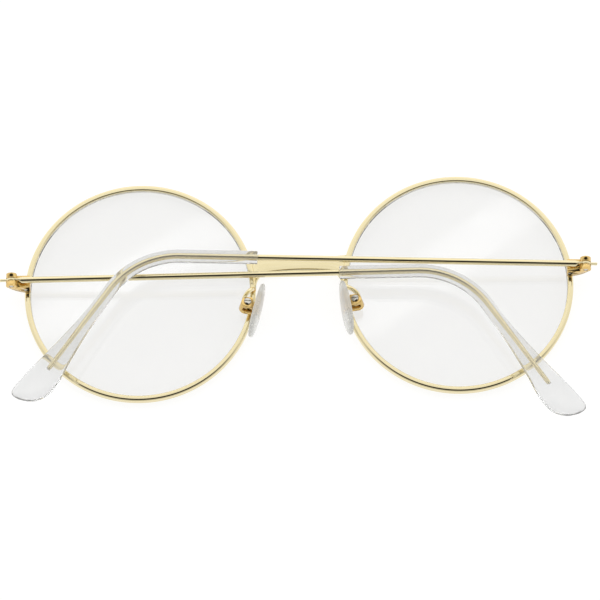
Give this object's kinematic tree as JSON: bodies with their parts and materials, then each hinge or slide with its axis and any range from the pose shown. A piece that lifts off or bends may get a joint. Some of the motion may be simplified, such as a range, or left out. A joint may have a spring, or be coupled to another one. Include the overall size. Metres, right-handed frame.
{
  "type": "round wire eyeglasses",
  "caption": "Round metal-rimmed spectacles with folding wire temples that end in clear paddle tips, and clear nose pads that rock on screwed arms.",
  "frame": {"origin": "middle of the underside of the folded spectacles, on the plane that the rims' flat fronts stand on", "axes": "+X to the wearer's right, +Y towards the brow, +Z towards the wearer, so the spectacles lie on the fronts of their rims"},
  "size_m": [0.133, 0.0602, 0.0104],
  "materials": {
    "gold_plate": "pale gold plate, polished",
    "screw_steel": "bright turned steel",
    "lens_plastic": "clear polished lens plastic",
    "tip_plastic": "clear moulded plastic, polished",
    "pad_silicone": "clear soft silicone, satin"
  },
  "bodies": {
    "front": {"bridge": "gold_plate", "right_rim": "gold_plate", "left_rim": "gold_plate", "right_lens": "lens_plastic", "left_lens": "lens_plastic", "right_upper_endpiece": "gold_plate", "left_upper_endpiece": "gold_plate", "right_lower_endpiece": "gold_plate", "left_lower_endpiece": "gold_plate", "right_lock_screw": "screw_steel", "left_lock_screw": "screw_steel", "right_hinge_screw": "screw_steel", "left_hinge_screw": "screw_steel", "right_pad_arm": "gold_plate", "left_pad_arm": "gold_plate", "right_pad_box": "gold_plate", "left_pad_box": "gold_plate", "right_pad_screw": "screw_steel", "left_pad_screw": "screw_steel"},
    "right_temple": {"right_temple_wire": "gold_plate", "right_temple_tip": "tip_plastic"},
    "left_temple": {"left_temple_wire": "gold_plate", "left_temple_tip": "tip_plastic"},
    "right_pad": {"right_pad_insert": "screw_steel", "right_nose_pad": "pad_silicone"},
    "left_pad": {"left_pad_insert": "screw_steel", "left_nose_pad": "pad_silicone"}
  },
  "joints": [
    {"name": "right_temple_fold", "type": "hinge", "parent": "front", "child": "right_temple", "pos_m": [0.0639, 0.00629, 0.006], "axis": [0.0401, 0.9992, 0], "range_deg": [0, 94]},
    {"name": "left_temple_fold", "type": "hinge", "parent": "front", "child": "left_temple", "pos_m": [-0.0639, 0.00629, 0.006], "axis": [-0.014, -0.9999, 0], "range_deg": [0, 86.5]},
    {"name": "right_pad_rock", "type": "hinge", "parent": "front", "child": "right_pad", "pos_m": [0.01275, -0.00091, 0.005], "axis": [-0.265, 0.2756, 0.924], "range_deg": [-8, 8]},
    {"name": "left_pad_rock", "type": "hinge", "parent": "front", "child": "left_pad", "pos_m": [-0.01185, -0.00091, 0.005], "axis": [0.265, 0.2756, 0.924], "range_deg": [-8, 8]}
  ],
  "couplings": [
    {"joint": "left_temple_fold", "follows": "right_temple_fold", "ratio": 0.92}
  ]
}
